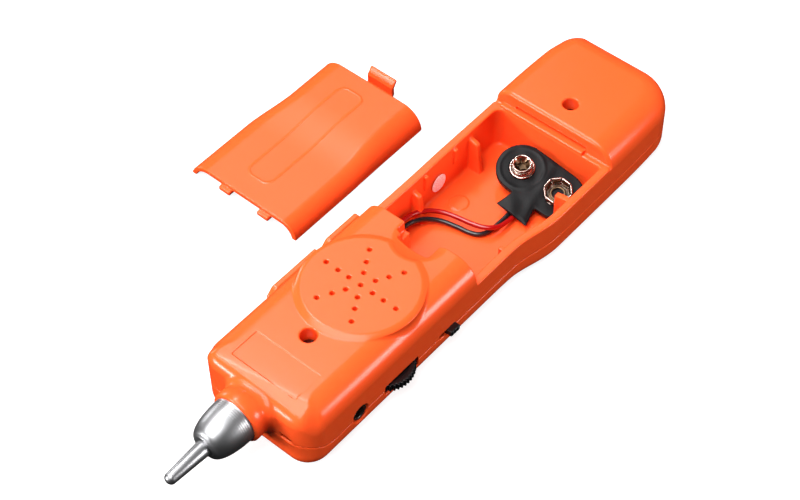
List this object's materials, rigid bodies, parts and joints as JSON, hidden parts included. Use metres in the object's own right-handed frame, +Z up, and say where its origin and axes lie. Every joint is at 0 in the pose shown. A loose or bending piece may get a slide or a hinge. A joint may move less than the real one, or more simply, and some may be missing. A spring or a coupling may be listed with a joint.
{
  "type": "cable tone probe",
  "caption": "Hand-held cable tracer with a pointed metal probe, speaker grille, side thumbwheel and switch, an open battery bay with a snap lead, and its removed cover.",
  "frame": {"origin": "on the case's flat front face, which it lies on, below the joint between the head and the battery bay", "axes": "+X towards the side with the thumbwheel, +Y from the probe tip towards the butt, +Z up through the grille side"},
  "size_m": [0.1, 0.188, 0.0244],
  "materials": {
    "case_plastic": "satin moulded, orange",
    "black_plastic": "satin",
    "soft_vinyl": "semi-matt soft vinyl",
    "aluminium": "fine turned",
    "nickel_plate": "bright pressed",
    "steel": "zinc plated",
    "brass": "bare wire",
    "red_vinyl": "gloss wire sheath",
    "black_vinyl": "gloss wire sheath",
    "circuit_laminate": "solder mask",
    "speaker_paper": "pressed pulp",
    "ferrite": "sintered",
    "resistor_body": "lacquered",
    "lamp_epoxy": "clear diffused",
    "sticker_paper": "coated label"
  },
  "bodies": {
    "case": {"rear_case": "case_plastic", "front_case": "case_plastic", "nose_ferrule": "aluminium", "probe_bush": "black_plastic", "probe_rod": "aluminium", "probe_contact_wire": "brass", "speaker_frame": "steel", "speaker_cone": "speaker_paper", "speaker_magnet": "ferrite", "circuit_board": "circuit_laminate", "board_screw_1": "steel", "board_screw_2": "steel", "amplifier_chip": "black_plastic", "capacitor_large": "black_plastic", "capacitor_small": "black_plastic", "transistor": "black_plastic", "trim_inductor": "ferrite", "resistor_1": "resistor_body", "resistor_2": "resistor_body", "resistor_3": "resistor_body", "resistor_4": "resistor_body", "volume_control_body": "black_plastic", "power_switch_body": "steel", "earphone_jack_body": "black_plastic", "earphone_jack_sleeve": "nickel_plate", "indicator_lamp": "lamp_epoxy", "case_screw_head": "steel", "case_screw_butt": "steel", "battery_snap": "soft_vinyl", "snap_stud_terminal": "nickel_plate", "snap_crown_terminal": "nickel_plate", "red_lead": "red_vinyl", "black_lead": "black_vinyl", "inspection_sticker": "sticker_paper"},
    "thumbwheel": {"volume_thumbwheel": "black_plastic"},
    "switch_slider": {"power_switch_slider": "black_plastic"},
    "cover": {"battery_cover": "case_plastic"},
    "latch": {"cover_latch": "case_plastic"}
  },
  "joints": [
    {"name": "volume_turn", "type": "hinge", "parent": "case", "child": "thumbwheel", "pos_m": [0.0137, -0.0303, 0.008], "axis": [0, 0, 1], "range_deg": [-135, 135]},
    {"name": "power_slide", "type": "slide", "parent": "case", "child": "switch_slider", "axis": [0, -1, 0], "range_m": [0, 0.003]},
    {"name": "cover_lift", "type": "slide", "parent": "case", "child": "cover", "axis": [0, 0, 1], "range_m": [0, 0.035]},
    {"name": "latch_flex", "type": "hinge", "parent": "cover", "child": "latch", "pos_m": [-0.057, 0.0443, 0.0031], "axis": [1, 0, 0], "range_deg": [0, 8], "stiffness_Nm_per_rad": 0.05}
  ]
}
